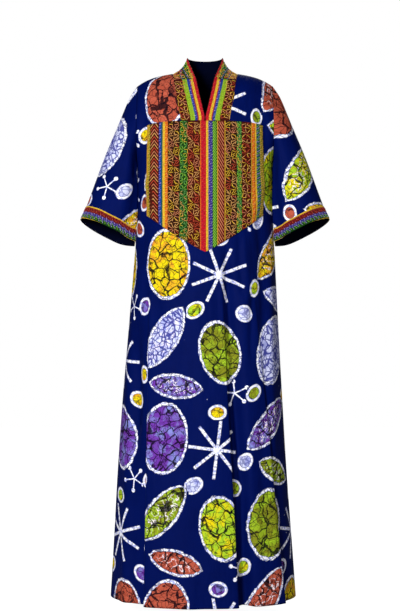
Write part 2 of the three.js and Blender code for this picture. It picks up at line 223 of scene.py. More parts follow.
def unit(vectors):
    return vectors / np.maximum(np.linalg.norm(vectors, axis=-1, keepdims=True), 1e-9)


def shoulder_line(x):
    """The shoulder line seen from the front, which rises to the collar's upper edge beside the neck."""
    reach = np.abs(x) - SHOULDER_X
    t = np.clip(reach / (ARM_X - SHOULDER_X), 0, 1)
    down = SHOULDER_Z - (SHOULDER_Z - ARM_TOP) * (0.45 * t + 0.55 * t**3)
    up = SHOULDER_Z + (NECK_TOP - SHOULDER_Z) * (reach / (SHOULDER_X - NECK_HALF)) ** 2
    return np.where(reach < 0, up, down)


def armhole_share(z):
    middle = (ARM_TOP + ARM_UNDER) / 2
    reach = (z - middle) / (ARM_TOP - middle)
    return np.maximum(0, 1 - reach**2) ** SLIT


def form(side, turn, z):
    """Points of the front or back before its folds, at turns of -90 to 90 degrees."""
    share = np.sin(turn)
    x = read(SECTIONS, z, "lean") + read(SECTIONS, z, "half") * share
    below = np.clip((shoulder_line(x) - z) / ROUNDING, 0, 1)
    depth = read(SECTIONS, z, "front" if side < 0 else "back") * np.sqrt(1 - (1 - below) ** 2)
    is_open = armhole_share(z)
    edge = ARM_HALF * is_open
    crown = (1 - np.minimum(np.abs(share), 1) ** 2.4) ** (0.5 + 0.5 * is_open)
    return np.stack([x, side * (edge + (depth - edge) * crown), z + 0 * x], -1)


def turn_at(x, z):
    share = (x - read(SECTIONS, z, "lean")) / read(SECTIONS, z, "half")
    return np.arcsin(np.clip(share, -1, 1))


def form_out(side, turn, z):
    """The form's outward direction."""
    middle = np.clip(turn, 0.01 - math.pi / 2, math.pi / 2 - 0.01)
    across = form(side, middle + 0.01, z) - form(side, middle - 0.01, z)
    down = form(side, middle, z - 1.5) - form(side, middle, z)
    return unit(-side * np.cross(down, across))


def body(side, turn, z):
    """The form with its hanging folds."""
    point = form(side, turn, z)
    after = form(side, np.minimum(turn + 0.004, math.pi / 2), z)
    before = form(side, np.maximum(turn - 0.004, -math.pi / 2), z)
    along = unit(after - before)
    out = -side * np.stack([along[..., 1], -along[..., 0], 0 * z], -1)
    out = unit(out)
    to_seam = smoothstep((1 - np.abs(np.sin(turn))) / 0.06)
    x = point[..., 0].copy()
    for fold in FOLDS[side]:
        place = np.maximum(0, (fold.start - z) / (fold.start - HEM))
        grown = place**0.8
        lift = fold.out * grown * to_seam
        for (top, foot), way, tuck in (
            (fold.left, 1, fold.tuck_left),
            (fold.right, -1, fold.tuck_right),
        ):
            q = (x - (top + (foot - top) * place)) / fold.soft
            lift = lift * (0.5 + 0.5 * np.tanh(way * q * 1.2))
            shift = -tuck * grown * to_seam * q * np.exp((1 - q * q) / 2)
            point = point + along * shift[..., None]
        point = point + out * lift[..., None]
    return point


def creases(side, x, z):
    """How far the listed creases and a faint slackness move the cloth in or out."""
    height = np.zeros_like(x)
    for crease in CREASES[side]:
        run = np.array([crease.x1 - crease.x0, crease.z1 - crease.z0], float)
        length = np.linalg.norm(run)
        run /= length
        dx, dz = x - crease.x0, z - crease.z0
        t = (dx * run[0] + dz * run[1]) / length
        away = dx * run[1] - dz * run[0] + 5 * np.sin(3.1 * t + crease.x0)
        ends = smoothstep(t / 0.3) * smoothstep((1 - t) / 0.3)
        height += crease.height * ends * np.exp(-((away / crease.width) ** 2))
    slack = [noise.noise(Vector((a / 70, b / 210, 5.0 * side))) for a, b in zip(x.flat, z.flat)]
    height += 2.2 * np.array(slack).reshape(x.shape)
    near_seam = smoothstep((1 - np.abs(np.sin(turn_at(x, z)))) / 0.08)
    near_top = smoothstep((shoulder_line(x) - z) / 60)
    return height * near_seam * near_top


# Heights of a column's points as shares of its length: close at the shoulder, then over the chest
ROW_SHARES = [0, 0.004, 0.015, 0.034, 0.062, 0.096, 0.13, 0.164, 0.198, 0.232, 0.266, 0.302, 0.34]
ROW_SHARES += [0.385, 0.435, 0.49, 0.545, 0.6, 0.66, 0.72, 0.78, 0.84, 0.895, 0.95, 1]


def finely(values, count):
    """A list of numbers read at evenly spaced places, ends included."""
    return np.interp(np.linspace(0, len(values) - 1, count), range(len(values)), values)


def lower_turns(side, z, count):
    """Turns of the lower columns at a height, closer together at the edges of the folds."""
    steps = np.linspace(-math.pi / 2, math.pi / 2, 721)
    middles = (steps[1:] + steps[:-1]) / 2
    x = read(SECTIONS, z, "lean") + read(SECTIONS, z, "half") * np.sin(middles)
    density = np.ones_like(x)
    for fold in FOLDS[side]:
        place = min(max((fold.start - z) / (fold.start - HEM), 0), 1)
        for (top, foot), tuck in ((fold.left, fold.tuck_left), (fold.right, fold.tuck_right)):
            if tuck:
                density += 2.2 * np.exp(-(((x - top - (foot - top) * place) / 22) ** 2))
    sums = np.concatenate([[0], np.cumsum(density)])
    return np.interp(np.linspace(0, sums[-1], count), sums, steps)


def panel_tops(side, count):
    """Where the columns of a panel start: along its neckline, then along the shoulder."""
    if side < 0:
        corners = [(0, NOTCH_Z), (NOTCH_HALF, NOTCH_Z), (SHOULDER_X, SHOULDER_Z)]
        shares = [0, 6 / 19, 13 / 19]
    else:
        x = np.linspace(0, SHOULDER_X, 12)
        corners = [(a, BACK_NECK_Z + (SHOULDER_Z - BACK_NECK_Z) * (a / SHOULDER_X) ** 2) for a in x]
        shares = list(np.linspace(0, 8 / 14, 12))
    for x in np.linspace(SHOULDER_X, ARM_X, 9)[1:]:
        corners.append((x, float(shoulder_line(x))))
        shares.append(shares[-1] + (1 - shares[-1]) / (9 - (len(corners) - (3 if side < 0 else 12))))
    places = np.abs(np.linspace(-1, 1, count))
    x = np.interp(places, shares, [corner[0] for corner in corners])
    z = np.interp(places, shares, [corner[1] for corner in corners])
    z = np.where(x > SHOULDER_X, shoulder_line(x), z)
    return np.sign(np.linspace(-1, 1, count)) * x, z


def panel_grid(side, rows, columns):
    """A panel's turns and heights on a grid, top row first, from the wearer's right to the left."""
    top_x, top_z = panel_tops(side, columns)
    shares = finely(ROW_SHARES, rows)[:, None]
    z = top_z + (HEM - top_z) * shares
    heights = np.linspace(HEM, SHOULDER_Z + 5, 60)
    turns = np.stack([lower_turns(side, h, columns) for h in heights])
    low = np.stack([np.interp(z[:, c], heights, turns[:, c]) for c in range(columns)], 1)
    settle = smoothstep((top_z - z) / 330)
    start = turn_at(top_x, top_z)
    return start + (low - start) * settle, z


def flat_across(side, turn, z):
    """How far each point is from the panel's middle, measured along the cloth."""
    turns = np.linspace(-math.pi / 2, math.pi / 2, 241)
    heights = np.linspace(HEM, 5, 60)
    points = body(side, *np.broadcast_arrays(turns, heights[:, None]))
    steps = np.linalg.norm(np.diff(points, axis=1), axis=-1)
    runs = np.concatenate([np.zeros((60, 1)), np.cumsum(steps, 1)], 1)
    runs -= runs[:, 120:121]
    row = np.clip((z - HEM) / (5 - HEM) * 59, 0, 58.999)
    column = np.clip((turn + math.pi / 2) / math.pi * 240, 0, 239.999)
    r, c = row.astype(int), column.astype(int)
    fr, fc = row - r, column - c
    upper = runs[r, c] * (1 - fc) + runs[r, c + 1] * fc
    return upper * (1 - fr) + (runs[r + 1, c] * (1 - fc) + runs[r + 1, c + 1] * fc) * fr


# ---------------------------------------------------------------- sheets


def sheet_mesh(name, points, flat, thickness, closed=False):
    """A cloth sheet over a grid of points in millimetres, with its flat places, its wall turned inwards."""
    rows, columns = points.shape[:2]
    bm = bmesh.new()
    bmesh.ops.create_grid(bm, x_segments=columns - 1, y_segments=rows - 1, size=0.5)
    place = bm.verts.layers.float_vector.new("flat")
    for vert in bm.verts:
        c = round((vert.co.x + 0.5) * (columns - 1))
        r = round((0.5 - vert.co.y) * (rows - 1))
        vert.co = Vector(points[r, c]) * MM
        vert[place] = (*flat[r, c], 0)
    corner = bm.loops.layers.uv.new("cloth")
    for face in bm.faces:
        for loop in face.loops:
            u, v, _ = loop.vert[place]
            loop[corner].uv = (u * MM, v * MM)
    bm.verts.layers.float_vector.remove(place)
    if closed:
        bmesh.ops.remove_doubles(bm, verts=bm.verts, dist=1e-6)
    mesh = bpy.data.meshes.new(name)
    bm.to_mesh(mesh)
    bm.free()
    mesh.polygons.foreach_set("use_smooth", [True] * len(mesh.polygons))
    piece = bpy.data.objects.new(name, mesh)
    bpy.context.scene.collection.objects.link(piece)
    wall = piece.modifiers.new("wall", "SOLIDIFY")
    wall.thickness = thickness * MM
    wall.offset = -1
    # The wall's inner face and rim take the second material: the cloth's inside, painted dark as shade
    wall.material_offset = 1
    return piece


def dress(piece, nodes, slot, material):
    """Lets a piece stand for its CAD nodes, in its own material and with its inside painted dark as shade."""
    piece.data.materials.append(material)
    piece.data.materials.append(bpy.data.materials.get("painted_shade_inside") or painted_shade_inside_material())
    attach(piece, "root")
    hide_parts(*nodes)
    return piece


def cloth_panel(name, side, rows, columns, wall):
    turn, z = panel_grid(side, rows, columns)
    points = body(side, turn, z)
    x = points[..., 0]
    points = points + form_out(side, turn, z) * creases(side, x, z)[..., None]
    flat = np.stack([flat_across(side, turn, z), z], -1)
    if side > 0:
        points, flat = points[:, ::-1], flat[:, ::-1]
    return sheet_mesh(name, points, flat, wall)


def beside(way, y, z):
    """How far out the side of the body reaches towards a sleeve, at a depth and height."""
    is_open = armhole_share(z)
    edge = ARM_HALF * is_open
    reach = 0 * y
    for side, depths in ((FRONT, "front"), (BACK, "back")):
        depth = read(SECTIONS, z, depths)
        crown = np.clip((side * y - edge) / (depth - edge), 0, 1) ** (1 / (0.5 + 0.5 * is_open))
        x = read(SECTIONS, z, "half") * (1 - crown) ** (1 / 2.4) + way * read(SECTIONS, z, "lean")
        reach = np.where(side * y >= 0, x + np.maximum(creases(side, way * x, z), 0), reach)
    return reach


def sleeve_grid(way, rows, columns, end=1.0, start=0.0):
    """Rings of points down a sleeve, the first towards its cuff at its end, and their flat places."""
    along = np.linspace(start, end, rows)[:, None]
    turn = -2 * math.pi * np.linspace(0, 1, columns)[None, :] - math.pi
    top = np.stack([read(SLEEVE, along, "top_x"), 0 * along, read(SLEEVE, along, "top_z")], -1)
    under = np.stack([read(SLEEVE, along, "under_x"), 0 * along, read(SLEEVE, along, "under_z")], -1)
    reach, middle = (top - under) / 2, (top + under) / 2
    down = unit(np.stack([reach[..., 2], 0 * along, -reach[..., 0]], -1))
    swell = 1 + 0 * turn
    depth = read(SLEEVE, along, "depth")
    for fold in SLEEVE_FOLDS[way]:
        away = (np.degrees(turn) - fold.angle + 180) % 360 - 180
        grown = smoothstep((along - fold.start) / (1 - fold.start))
        fading = smoothstep((fold.end - along) / 0.25)
        shown = grown if fold.end > 1 else smoothstep((along - fold.start) / 0.2) * fading
        swell = swell + fold.out / depth * shown * np.exp(-((away / fold.width) ** 2))
    slit = np.abs(np.sin(turn)) ** ((2 * SLIT - 1) * (1 - smoothstep(along / 0.3)))
    y = -depth * np.sin(turn) * swell * slit
    drop = read(SLEEVE, along, "drop") * y / depth
    points = middle + reach * np.cos(turn)[..., None] + down * drop[..., None]
    points[..., 1] = y
    seam = read(SECTIONS, under[..., 2], "half") + way * read(SECTIONS, under[..., 2], "lean")
    clear = SLEEVE_CLEAR + (CUFF_CLEAR - SLEEVE_CLEAR) * smoothstep((along - 0.8) / 0.1)
    ridges = HUG * np.exp(-(((np.abs(y) - HUG_PLACE) / HUG_WIDTH) ** 2))
    beneath = np.maximum(-np.cos(turn), 0)
    lean = (under[..., 0] - seam - clear) * beneath**3 + ridges * beneath
    nearest = beside(way, y, points[..., 2]) + clear
    hanging = np.maximum(points[..., 0] - lean * smoothstep(along / 0.1), nearest)
    points[..., 0] = np.where(beneath > 0, np.minimum(points[..., 0], hanging), points[..., 0])
    axis = SLEEVE_AXIS / np.linalg.norm(SLEEVE_AXIS)
    steps = np.diff(points, axis=1)
    steps -= (steps @ axis)[..., None] * axis
    u = np.concatenate([np.zeros((rows, 1)), np.cumsum(np.linalg.norm(steps, axis=-1), 1)], 1)
    flat = np.stack([u - u[:, columns // 2, None], -(points - SLEEVE_START) @ axis], -1)
    if way < 0:
        points = points[:, ::-1] * [-1, 1, 1]
        flat = flat[:, ::-1] * [-1, 1]
    return points, flat


def refine(points, across, down):
    """A finer grid through a coarse one's points, by smooth curves both ways."""
    for axis, times in ((1, across), (0, down)):
        count = points.shape[axis]
        places = np.linspace(0, count - 1, (count - 1) * times + 1)
        i = np.clip(places.astype(int), 0, count - 2)
        t = (places - i).reshape([-1 if a == axis else 1 for a in range(3)])
        before, start = np.take(points, np.maximum(i - 1, 0), axis), np.take(points, i, axis)
        end, after = np.take(points, i + 1, axis), np.take(points, np.minimum(i + 2, count - 1), axis)
        third = 3 * (start - end) + after - before
        second = 2 * before - 5 * start + 4 * end - after
        points = start + t / 2 * (end - before + t * (second + t * third))
    return points


# The V's edge and the collar's upper edge round the neck: height, and its place seen from above
VEdge = namedtuple("VEdge", "outer_z z x y")
V_EDGE = [
    VEdge(NOTCH_Z, NOTCH_Z, 0.4, -105.5),
    VEdge(-126, -126, 0.4, -103),
    VEdge(-92, -92, 8, -94),
    VEdge(-56, -56, 16, -82),
    VEdge(BAND_TOP, BAND_TOP, 24, -66),
    VEdge(-11, 8, 34, -46),
    VEdge(-4, 32, 43, -22),
    VEdge(SHOULDER_Z, NECK_TOP, NECK_HALF, 0),
]
BAND_STATIONS = 5
BACK_STATIONS = 8


def neck_station(side, x, z, inner):
    """A smooth line from the neck's edge down to a panel's neckline, and its outward direction there."""
    outer = form(side, turn_at(x, z), z)
    flat = unit(form(side, turn_at(x - 4, z), z) - outer)
    standing = z >= BAND_TOP or side > 0
    rise = outer + (inner - outer) * 0.7 if standing else outer + flat * np.linalg.norm(inner - outer) / 2
    if standing:
        rise[2] = outer[2] + (inner[2] - outer[2]) * 0.22
    w = np.linspace(0, 1, 9)[:, None]
    line = (1 - w) ** 2 * inner + 2 * w * (1 - w) * rise + w**2 * outer
    # The strip's edge reaches a little way under the panel, so that no light shows between them
    under = outer - form_out(side, turn_at(x, z), z) * TUCK_IN
    line[-2:] = under, under - unit(rise - outer) * OVERLAP
    return line


def half_neck():
    """The neck's lines from the V's point up the wearer's left side and on to the middle of the back."""
    lines = []
    for row in V_EDGE:
        share = (row.outer_z - NOTCH_Z) / (SHOULDER_Z - NOTCH_Z)
        x = NOTCH_HALF + (SHOULDER_X - NOTCH_HALF) * share
        lines.append(neck_station(FRONT, x, row.outer_z, np.array([row.x, row.y, row.z], float)))
    for t in np.linspace(0, 1, BACK_STATIONS + 1)[1:]:
        x, turn = SHOULDER_X * (1 - t), math.pi / 2 * (1 - t)
        z = BACK_NECK_Z + (SHOULDER_Z - BACK_NECK_Z) * (1 - t) ** 2
        inner = np.array([NECK_HALF * math.sin(turn), NECK_BACK * math.cos(turn), NECK_TOP])
        lines.append(neck_station(BACK, x, z, inner))
    return np.stack(lines, 1)


def flat_strip(points):
    """Flat places on a strip: across from its first row, and along from its first column."""
    across = np.linalg.norm(np.diff(points, axis=0), axis=-1)
    u = np.concatenate([np.zeros((1, points.shape[1])), np.cumsum(across, 0)], 0)
    middle = points[points.shape[0] // 2]
    run = np.concatenate([[0], np.cumsum(np.linalg.norm(np.diff(middle, axis=0), axis=-1))])
    return np.stack([u, np.broadcast_to(run, u.shape)], -1)


# The plastron's stripes from the wearer's right to the left: where each ends, its colour and its stitches
Stripe = namedtuple("Stripe", "end colour stitch")
PLASTRON_STRIPES = [
    Stripe(-156, "gold", None),
    Stripe(-150, "olive", "flecks"),
    Stripe(-126, "rust", "chevron"),
    Stripe(-119, "blue", "pale flecks"),
    Stripe(-115, "teal", None),
    Stripe(-109, "yellow", None),
    Stripe(-101.5, "scarlet", "flecks"),
    Stripe(-69, "brown", "star"),
    Stripe(-48.5, "green", "star"),
    Stripe(-14.5, "rust", "star"),
    Stripe(-12, "scarlet", None),
    Stripe(1.5, "red", "red flecks"),
    Stripe(8.5, "yellow", None),
    Stripe(19.5, "purple", "pale flecks"),
    Stripe(32.5, "green", "hatch"),
    Stripe(34, "gold", None),
    Stripe(51.5, "maroon", "rose hatch"),
    Stripe(54, "gold", None),
    Stripe(86, "brown", "star"),
    Stripe(99, "green", "star"),
    Stripe(125, "rust", "star"),
    Stripe(127.5, "gold", None),
    Stripe(136, "scarlet", "flecks"),
    Stripe(140, "yellow", None),
    Stripe(149, "teal", "green flecks"),
    Stripe(160, "olive", "flecks"),
]
# Neck bands, from the V outwards
NECK_STRIPES = [
    Stripe(1.5, "brown", None),
    Stripe(10, "red", "red flecks"),
    Stripe(17, "yellow", None),
    Stripe(20, "crimson", None),
    Stripe(27, "blue", "pale flecks"),
    Stripe(40, "lime", None),
    Stripe(66, "rust", "star"),
    Stripe(90, "gold", None),
]
# The collar, from its upper edge down
COLLAR_STRIPES = [
    Stripe(1.5, "brown", None),
    Stripe(9, "red", "red flecks"),
    Stripe(12, "gold", None),
    Stripe(35, "green", "star"),
    Stripe(39, "blue", "pale flecks"),
    Stripe(42, "olive", None),
    Stripe(66, "rust", "star"),
    Stripe(90, "gold", None),
]
# Cuff bands, from the sleeve down
CUFF_STRIPES = [
    Stripe(3.5, "yellow", None),
    Stripe(17, "maroon", "red flecks"),
    Stripe(25, "purple", "pale flecks"),
    Stripe(35, "green", "green flecks"),
    Stripe(90, "yellow", None),
]
COLOURS = {
    "royal": "#011156",
    "deep": "#010b42",
    "ink": "#010424",
    "gold": "#d6a52c",
    "green": "#174a12",
    "teal": "#1c5a58",
    "lime": "#9dc42c",
    "rust": "#4e1205",
    "brown": "#321203",
    "blue": "#24409c",
    "yellow": "#f2c436",
    "scarlet": "#e8701c",
    "red": "#d0162c",
    "purple": "#3c3488",
    "maroon": "#6a1410",
    "olive": "#9a8c28",
    "leaf": "#86c83a",
    "fern": "#5ca052",
    "rose": "#e08c60",
    "brick": "#c8482a",
    "crimson": "#b01a28",
    "tan": "#e6ad62",
    "straw": "#e8bc30",
    "lilac": "#a59ad8",
    "iris": "#6c68bc",
}


def linear(hexed, alpha=1.0):
    """A screen colour such as #04106e as the linear colour that materials hold."""
    parts = [int(hexed[i : i + 2], 16) / 255 for i in (1, 3, 5)]
    return (*[c / 12.92 if c <= 0.04045 else ((c + 0.055) / 1.055) ** 2.4 for c in parts], alpha)


class Term:
    """A number in a material's nodes, so that a pattern can be written as sums and products."""

    def __init__(self, tree, socket):
        self.tree = tree
        self.socket = socket

    def op(self, operation, *others, clamp=False):
        node = self.tree.nodes.new("ShaderNodeMath")
        node.operation = operation
        node.use_clamp = clamp
        for slot, value in zip(node.inputs, (self, *others)):
            if isinstance(value, Term):
                self.tree.links.new(value.socket, slot)
            else:
                slot.default_value = value
        return Term(self.tree, node.outputs[0])

    def __add__(self, other):
        return self.op("ADD", other)

    def __sub__(self, other):
        return self.op("SUBTRACT", other)

    def __mul__(self, other):
        return self.op("MULTIPLY", other)

    def __abs__(self):
        return self.op("ABSOLUTE")

    def power(self, exponent):
        return self.op("POWER", exponent)

    def sine(self, pitch=None):
        """The sine of this, or of this length in periods of a pitch."""
        return (self if pitch is None else self * (2 * math.pi / pitch)).op("SINE")

    def below(self, limit, soft):
        """1 where this is below a limit and 0 above, over a soft edge."""
        if isinstance(limit, Term):
            return (limit - self).op("MULTIPLY_ADD", 1 / soft, 0.5, clamp=True)
        return self.op("MULTIPLY_ADD", -1 / soft, limit / soft + 0.5, clamp=True)

    def is_kind(self, number):
        return self.op("COMPARE", number, 0.5)


def new_material(name):
    material = bpy.data.materials.new(name)
    material.use_nodes = True
    tree = material.node_tree
    shader = tree.nodes["Principled BSDF"]
    return material, tree, shader


def attribute(tree, name, output="Vector"):
    node = tree.nodes.new("ShaderNodeAttribute")
    node.attribute_name = name
    return node.outputs[output]


def cloth_place(tree):
    """The place on the flat cloth in millimetres, across and along."""
    node = tree.nodes.new("ShaderNodeUVMap")
    node.uv_map = "cloth"
    scaled = tree.nodes.new("ShaderNodeVectorMath")
    scaled.operation = "SCALE"
    scaled.inputs["Scale"].default_value = 1000
    tree.links.new(node.outputs[0], scaled.inputs[0])
    return scaled.outputs[0]


def parts(tree, vector):
    node = tree.nodes.new("ShaderNodeSeparateXYZ")
    tree.links.new(vector, node.inputs[0])
    return [Term(tree, out) for out in node.outputs]


def stretched(tree, vector, x, y):
    node = tree.nodes.new("ShaderNodeVectorMath")
    node.operation = "MULTIPLY"
    node.inputs[1].default_value = (x, y, 1)
    tree.links.new(vector, node.inputs[0])
    return node.outputs[0]


def wandering(tree, vector, scale, reach):
    """A place moved about by soft noise, so that straight lines on it wander."""
    node = tree.nodes.new("ShaderNodeTexNoise")
    node.inputs["Scale"].default_value = scale
    node.inputs["Detail"].default_value = 2
    tree.links.new(vector, node.inputs["Vector"])
    shift = tree.nodes.new("ShaderNodeVectorMath")
    shift.operation = "MULTIPLY_ADD"
    shift.inputs[1].default_value = (reach, reach, 0)
    tree.links.new(node.outputs["Color"], shift.inputs[0])
    tree.links.new(vector, shift.inputs[2])
    return shift.outputs[0]


def noise_term(tree, vector, scale, detail=2.0, roughness=0.5):
    node = tree.nodes.new("ShaderNodeTexNoise")
    node.inputs["Scale"].default_value = scale
    node.inputs["Detail"].default_value = detail
    node.inputs["Roughness"].default_value = roughness
    tree.links.new(vector, node.inputs["Vector"])
    return Term(tree, node.outputs["Fac"])


def cell_edges(tree, vector, scale):
    """The distance to the nearest edge between random cells, as wax cracks run."""
    node = tree.nodes.new("ShaderNodeTexVoronoi")
    node.feature = "DISTANCE_TO_EDGE"
    node.inputs["Scale"].default_value = scale
    tree.links.new(vector, node.inputs["Vector"])
    return Term(tree, node.outputs["Distance"])


def mix(tree, mask, under, over):
    """One colour laid over another where a mask is 1."""
    node = tree.nodes.new("ShaderNodeMix")
    node.data_type = "RGBA"
    for slot, value in ((node.inputs[0], mask), (node.inputs[6], under), (node.inputs[7], over)):
        if isinstance(value, Term):
            tree.links.new(value.socket, slot)
        elif isinstance(value, bpy.types.NodeSocket):
            tree.links.new(value, slot)
        else:
            slot.default_value = value
    return node.outputs[2]


def bump(tree, shader, height, distance, strength=1.0):
    node = tree.nodes.new("ShaderNodeBump")
    node.inputs["Distance"].default_value = distance
    node.inputs["Strength"].default_value = strength
    tree.links.new(height.socket, node.inputs["Height"])
    tree.links.new(node.outputs[0], shader.inputs["Normal"])


def embroidery_material(name, stripes, start, end, across):
    """Satin stitch in stripes: colours by place across, and fine threads laid across each stripe."""
    material, tree, shader = new_material(name)
    place = cloth_place(tree)
    u, v, _ = parts(tree, place)
    wander = noise_term(tree, stretched(tree, place, 0.02, 0.09), 1.0) - 0.5
    ramp = tree.nodes.new("ShaderNodeValToRGB")
    ramp.color_ramp.interpolation = "CONSTANT"
    spot = (u if across == "u" else v) + wander * 1.2
    tree.links.new(spot.op("MULTIPLY_ADD", 1 / (end - start), -start / (end - start)).socket, ramp.inputs[0])
    stops = ramp.color_ramp.elements
    begin = start
    for n, stripe in enumerate(stripes):
        stop = stops[n] if n < 2 else stops.new(1.0)
        stop.position = (begin - start) / (end - start)
        stop.color = linear(COLOURS[stripe.colour])
        begin = stripe.end
    run = v if across == "u" else u
    along_thread = (0.22, 0.4) if across == "u" else (0.4, 0.22)
    lie = noise_term(tree, stretched(tree, place, *along_thread), 1.0, 3, 0.65)
    threads = (run + lie * 0.8).sine(1.3)
    shade = (threads * 0.12 + lie * 2.6 - 0.5).op("MAXIMUM", 0.12).op("MINIMUM", 1)
    dark = mix(tree, shade, linear("#120608"), ramp.outputs[0])
    tree.links.new(dark, shader.inputs["Base Color"])
    shader.inputs["Roughness"].default_value = 0.6
    shader.inputs["Specular IOR Level"].default_value = 0.12
    bump(tree, shader, threads + lie, 0.0004, 0.7)
    return material


def painted_shade_inside_material():
    """The inside of the cloth: the deep dye painted near black as shade, with the weave but without the
    print's whites.
    """
    material, tree, shader = new_material("painted_shade_inside")
    coordinates = tree.nodes.new("ShaderNodeTexCoord").outputs["Object"]
    # Painted shade: the inside is coloured near black, as it looks in shade
    inside_shade_colour = mix(tree, noise_term(tree, coordinates, 30, 3), linear("#00010c"), linear("#01051e"))
    tree.links.new(inside_shade_colour, shader.inputs["Base Color"])
    shader.inputs["Roughness"].default_value = 0.8
    shader.inputs["Specular IOR Level"].default_value = 0.02
    return material


def thread_material(colour):
    """A bright embroidery thread, lit unevenly along its twist."""
    material, tree, shader = new_material("thread_" + colour)
    coordinates = tree.nodes.new("ShaderNodeTexCoord").outputs["Object"]
    lie = noise_term(tree, coordinates, 900, 1)
    tone = mix(tree, lie * 0.6 + 0.55, linear("#3a1608"), linear(COLOURS[colour]))
    tree.links.new(tone, shader.inputs["Base Color"])
    shader.inputs["Roughness"].default_value = 0.45
    shader.inputs["Specular IOR Level"].default_value = 0.25
    return material


